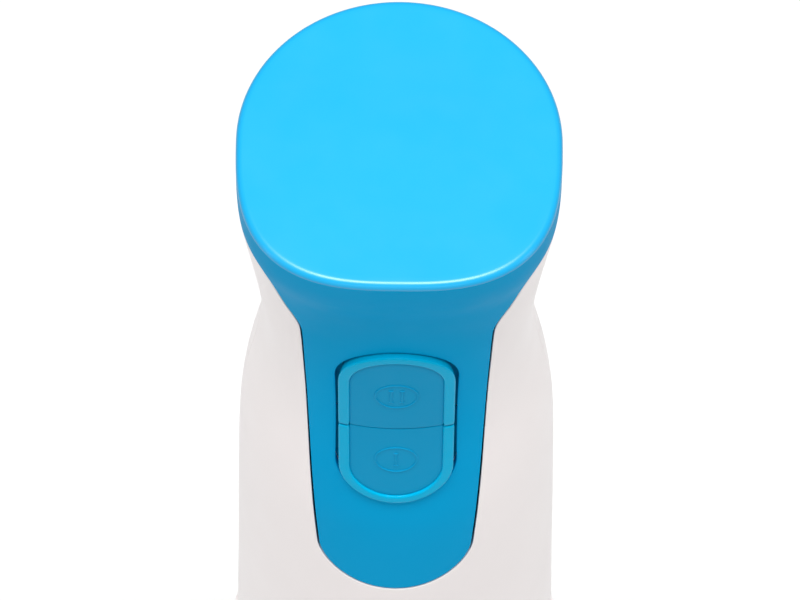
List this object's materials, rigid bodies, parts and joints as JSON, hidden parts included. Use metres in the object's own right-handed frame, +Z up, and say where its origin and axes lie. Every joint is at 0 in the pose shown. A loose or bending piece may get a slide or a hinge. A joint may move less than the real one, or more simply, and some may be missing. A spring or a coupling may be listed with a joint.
{
  "type": "immersion blender",
  "caption": "Stick blender: waisted motor unit with a flat-topped clip-on cover and two speed keys, and a steel blending arm that clips off, with a bell guard and blade.",
  "frame": {"origin": "centre of the bell guard's rim plane, on the surface the blender stands on", "axes": "+Z up along the handle, -Y towards the speed keys, +X to the right seen from the keys' side"},
  "size_m": [0.0694, 0.0682, 0.4],
  "materials": {
    "white": "semi-gloss moulded",
    "blue": "semi-gloss moulded",
    "pad": "satin soft-touch",
    "gland": "satin",
    "grey": "moulded",
    "steel": "brushed",
    "sheet_steel": "zinc plated",
    "screw_steel": "zinc plated",
    "bronze": "sintered",
    "laminations": "stamped and varnished",
    "copper": "enamelled copper wire",
    "carbon": "pressed graphite",
    "holder": "moulded",
    "board": "solder mask",
    "dark": "moulded",
    "cap": "dipped resin",
    "lead": "insulation",
    "rubber": "matt"
  },
  "bodies": {
    "motor_unit": {"top_cover": "blue", "front_housing": "white", "rear_housing": "white", "housing_screws": "screw_steel", "cord_gland": "gland", "switch_carrier": "grey", "carrier_screws": "screw_steel", "switch_board": "board", "micro_switches": "dark", "suppressor_capacitor": "cap", "inner_leads": "lead", "high_key_spring": "screw_steel", "low_key_spring": "screw_steel", "upper_damper": "rubber", "upper_motor_bracket": "sheet_steel", "upper_motor_bush": "bronze", "brush_holders": "holder", "carbon_brushes": "carbon", "brush_springs": "screw_steel", "stator_core": "laminations", "field_coils": "copper", "motor_screws": "screw_steel", "lower_motor_bracket": "sheet_steel", "lower_motor_bush": "bronze", "motor_grommets": "rubber", "base_screws": "screw_steel", "coupling_base": "grey", "left_latch_spring": "screw_steel", "right_latch_spring": "screw_steel"},
    "high_key": {"high_speed_key": "blue", "high_speed_pad": "pad"},
    "low_key": {"low_speed_key": "blue", "low_speed_pad": "pad"},
    "left_release": {"left_release_button": "white", "left_latch_hook": "screw_steel"},
    "right_release": {"right_release_button": "white", "right_latch_hook": "screw_steel"},
    "rotor": {"rotor_shaft": "steel", "rotor_core": "laminations", "rotor_windings": "copper", "commutator": "copper", "cooling_fan": "grey", "drive_dog": "grey"},
    "arm": {"arm_collar": "white", "collar_gasket": "rubber", "upper_arm_bush": "bronze", "arm_tube": "steel", "lower_carrier": "grey", "lower_arm_bush": "bronze", "shaft_seal": "rubber", "bell_guard": "steel"},
    "blade_drive": {"blade_shaft": "steel", "driven_coupler": "grey", "blade": "steel", "blade_nut": "steel"}
  },
  "joints": [
    {"name": "high_key_press", "type": "slide", "parent": "motor_unit", "child": "high_key", "axis": [0, 1, 0], "range_m": [0, 0.002], "stiffness_N_per_m": 500, "springref_m": -0.001, "deforming": ["high_key_spring"]},
    {"name": "low_key_press", "type": "slide", "parent": "motor_unit", "child": "low_key", "axis": [0, 1, 0], "range_m": [0, 0.002], "stiffness_N_per_m": 500, "springref_m": -0.001, "deforming": ["low_key_spring"]},
    {"name": "left_release_press", "type": "slide", "parent": "motor_unit", "child": "left_release", "axis": [1, 0, 0], "range_m": [0, 0.0025], "stiffness_N_per_m": 600, "springref_m": -0.001, "deforming": ["left_latch_spring"]},
    {"name": "right_release_press", "type": "slide", "parent": "motor_unit", "child": "right_release", "axis": [-1, 0, 0], "range_m": [0, 0.0025], "stiffness_N_per_m": 600, "springref_m": -0.001, "deforming": ["right_latch_spring"]},
    {"name": "arm_release", "type": "slide", "parent": "motor_unit", "child": "arm", "axis": [0, 0, -1], "range_m": [0, 0.06], "deforming": ["left_latch_hook", "right_latch_hook"]},
    {"name": "rotor_spin", "type": "hinge", "parent": "motor_unit", "child": "rotor", "pos_m": [0, 0, 0.228], "axis": [0, 0, 1], "continuous": true},
    {"name": "blade_spin", "type": "hinge", "parent": "arm", "child": "blade_drive", "pos_m": [0, 0, 0.1], "axis": [0, 0, 1], "continuous": true}
  ],
  "couplings": [
    {"joint": "blade_spin", "follows": "rotor_spin", "ratio": 1}
  ]
}
